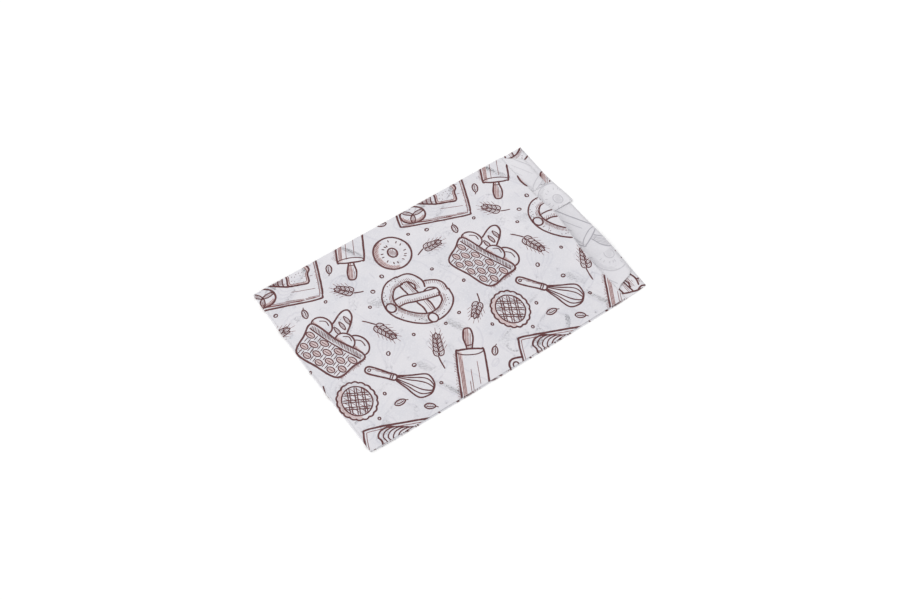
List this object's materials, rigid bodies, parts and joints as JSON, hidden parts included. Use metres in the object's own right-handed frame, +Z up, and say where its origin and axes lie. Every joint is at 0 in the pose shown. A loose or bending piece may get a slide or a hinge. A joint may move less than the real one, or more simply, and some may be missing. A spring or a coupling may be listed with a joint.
{
  "type": "paper bakery bag",
  "caption": "Flat white paper bakery bag with side gussets, a lapped and glued back seam, a thumb-cut mouth and a folded-under base, lying on its back panel.",
  "frame": {"origin": "centre of the bounding box in X and Y, at its bottom, on the surface the bag lies on", "axes": "+X along the bag towards its mouth, +Y across it towards the side nearer the back seam, +Z up from the back panel to the front panel"},
  "size_m": [0.2182, 0.14, 0.0082],
  "materials": {
    "paper": "thin uncoated paper"
  },
  "bodies": {
    "root": {"paper_bag": "paper"}
  },
  "joints": []
}
